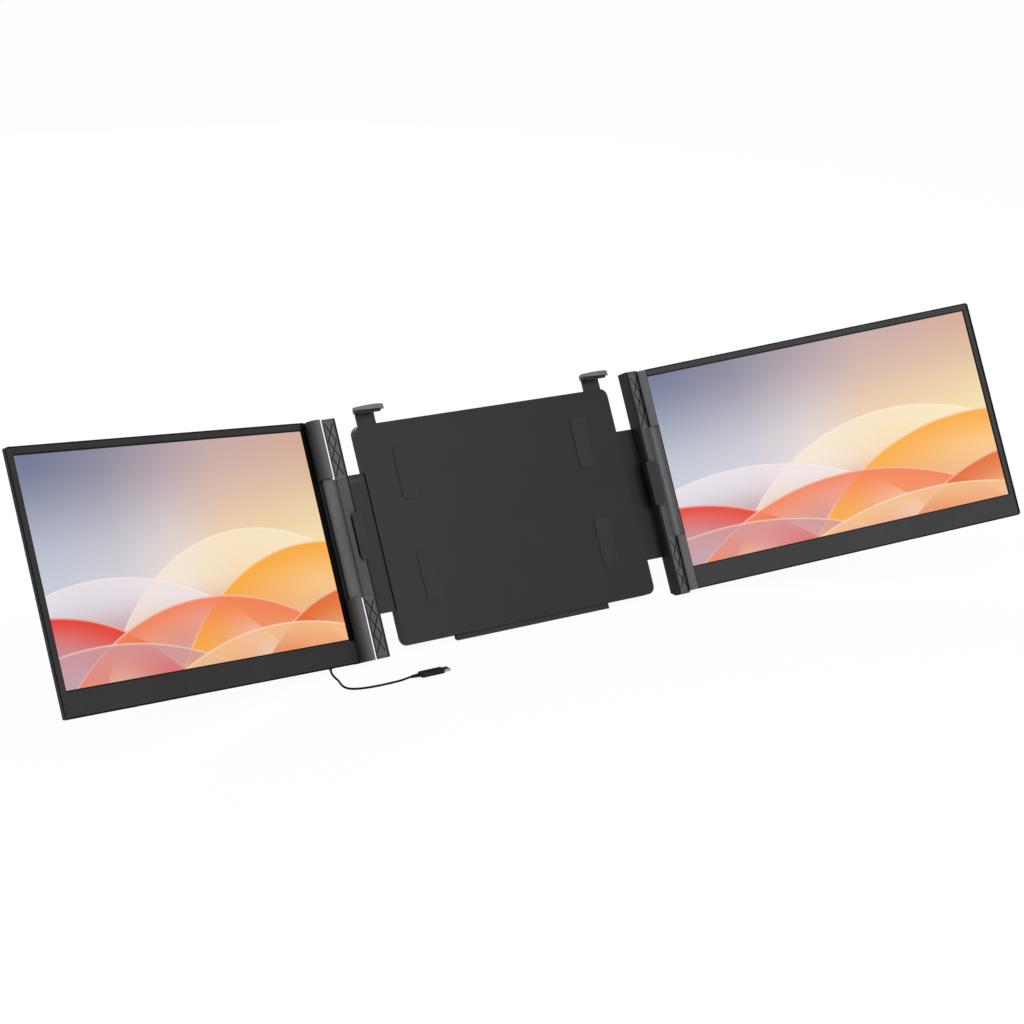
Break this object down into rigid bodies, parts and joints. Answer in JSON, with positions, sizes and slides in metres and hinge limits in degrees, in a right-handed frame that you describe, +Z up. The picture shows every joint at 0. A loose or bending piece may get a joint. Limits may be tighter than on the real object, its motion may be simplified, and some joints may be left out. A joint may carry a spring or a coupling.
{
  "type": "laptop screen extender",
  "caption": "Laptop screen extender: folding side monitors on sliding arms, centre housing behind the lid, top hooks, side clips, kickstand and USB cable.",
  "frame": {"origin": "on the table, under the middle of the rubber foot strip below the centre housing", "axes": "+X to the user's right along the row of screens, +Y away from the user, +Z up"},
  "size_m": [1.0681, 0.2333, 0.2638],
  "materials": {
    "charcoal_plastic": "fine grain matt",
    "slate_metal": "anodised matt grey",
    "slate_plastic": "matt",
    "plate_metal": "anodised matt black",
    "steel": "plain steel",
    "rubber": "matt soft rubber",
    "display": "glossy display glass over the picture",
    "backlight": "pressed sheet",
    "board": "solder-masked board",
    "cable_jacket": "smooth jacket",
    "plug_plastic": "moulded"
  },
  "bodies": {
    "housing": {"front_plate": "plate_metal", "rear_housing": "charcoal_plastic", "arm_guides": "slate_plastic", "housing_screws": "steel", "lid_pads": "rubber", "foot_strip": "rubber"},
    "kickstand": {"kickstand_leg": "slate_metal", "kickstand_pins": "steel", "kickstand_tip": "rubber"},
    "left_hook": {"left_top_hook": "slate_plastic", "left_hook_pad": "rubber"},
    "right_hook": {"right_top_hook": "slate_plastic", "right_hook_pad": "rubber"},
    "left_arm": {"left_arm_plate": "plate_metal", "left_bar_base": "slate_metal", "left_bar_cover": "slate_plastic", "left_grip_pads": "rubber", "left_bar_knuckle": "slate_metal", "left_hinge_pins": "steel", "left_arm_screws": "steel", "cable": "cable_jacket", "plug_body": "plug_plastic", "plug_shell": "steel"},
    "left_clip": {"left_side_clip": "rubber"},
    "left_monitor": {"left_front_bezel": "charcoal_plastic", "left_display_glass": "display", "left_backlight": "backlight", "left_rear_shell": "charcoal_plastic", "left_main_board": "board", "left_usb_sockets": "steel", "left_speakers": "slate_plastic", "left_knuckles": "slate_metal", "left_hinge_brackets": "steel", "left_hinge_screws": "steel", "cable_grommet": "rubber"},
    "left_power_key": {"left_power_button": "slate_plastic"},
    "left_up_key": {"left_up_button": "slate_plastic"},
    "left_down_key": {"left_down_button": "slate_plastic"},
    "right_arm": {"right_arm_plate": "plate_metal", "right_bar_base": "slate_metal", "right_bar_cover": "slate_plastic", "right_grip_pads": "rubber", "right_bar_knuckle": "slate_metal", "right_hinge_pins": "steel", "right_arm_screws": "steel"},
    "right_clip": {"right_side_clip": "rubber"},
    "right_monitor": {"right_front_bezel": "charcoal_plastic", "right_display_glass": "display", "right_backlight": "backlight", "right_rear_shell": "charcoal_plastic", "right_main_board": "board", "right_usb_sockets": "steel", "right_speakers": "slate_plastic", "right_knuckles": "slate_metal", "right_hinge_brackets": "steel", "right_hinge_screws": "steel"},
    "right_power_key": {"right_power_button": "slate_plastic"},
    "right_up_key": {"right_up_button": "slate_plastic"},
    "right_down_key": {"right_down_button": "slate_plastic"}
  },
  "joints": [
    {"name": "kickstand_hinge", "type": "hinge", "parent": "housing", "child": "kickstand", "pos_m": [0, 0.05649, 0.10319], "axis": [1, 0, 0], "range_deg": [-50, 15]},
    {"name": "left_hook_slide", "type": "slide", "parent": "housing", "child": "left_hook", "axis": [0, 0.4493, 0.8934], "range_m": [0, 0.022]},
    {"name": "left_arm_slide", "type": "slide", "parent": "housing", "child": "left_arm", "axis": [-1, 0, 0], "range_m": [-0.02, 0.027]},
    {"name": "left_clip_slide", "type": "slide", "parent": "left_arm", "child": "left_clip", "axis": [-1, 0, 0], "range_m": [0, 0.003]},
    {"name": "left_monitor_hinge", "type": "hinge", "parent": "left_arm", "child": "left_monitor", "pos_m": [-0.2006, 0.03145, 0.10683], "axis": [0, 0.4493, 0.8934], "range_deg": [-17.2, 162.8]},
    {"name": "left_power_press", "type": "slide", "parent": "left_monitor", "child": "left_power_key", "axis": [0, 0.4493, 0.8934], "range_m": [0, 0.0004], "stiffness_N_per_m": 2500, "springref_m": -0.0004},
    {"name": "left_up_press", "type": "slide", "parent": "left_monitor", "child": "left_up_key", "axis": [0, 0.4493, 0.8934], "range_m": [0, 0.0004], "stiffness_N_per_m": 2500, "springref_m": -0.0004},
    {"name": "left_down_press", "type": "slide", "parent": "left_monitor", "child": "left_down_key", "axis": [0, 0.4493, 0.8934], "range_m": [0, 0.0004], "stiffness_N_per_m": 2500, "springref_m": -0.0004},
    {"name": "right_hook_slide", "type": "slide", "parent": "housing", "child": "right_hook", "axis": [0, 0.4493, 0.8934], "range_m": [0, 0.022]},
    {"name": "right_arm_slide", "type": "slide", "parent": "housing", "child": "right_arm", "axis": [1, 0, 0], "range_m": [-0.02, 0.027]},
    {"name": "right_clip_slide", "type": "slide", "parent": "right_arm", "child": "right_clip", "axis": [1, 0, 0], "range_m": [0, 0.003]},
    {"name": "right_monitor_hinge", "type": "hinge", "parent": "right_arm", "child": "right_monitor", "pos_m": [0.1844, 0.03592, 0.10458], "axis": [0, -0.4493, -0.8934], "range_deg": [-21.6, 158.4]},
    {"name": "right_power_press", "type": "slide", "parent": "right_monitor", "child": "right_power_key", "axis": [0, 0.4493, 0.8934], "range_m": [0, 0.0004], "stiffness_N_per_m": 2500, "springref_m": -0.0004},
    {"name": "right_up_press", "type": "slide", "parent": "right_monitor", "child": "right_up_key", "axis": [0, 0.4493, 0.8934], "range_m": [0, 0.0004], "stiffness_N_per_m": 2500, "springref_m": -0.0004},
    {"name": "right_down_press", "type": "slide", "parent": "right_monitor", "child": "right_down_key", "axis": [0, 0.4493, 0.8934], "range_m": [0, 0.0004], "stiffness_N_per_m": 2500, "springref_m": -0.0004}
  ]
}
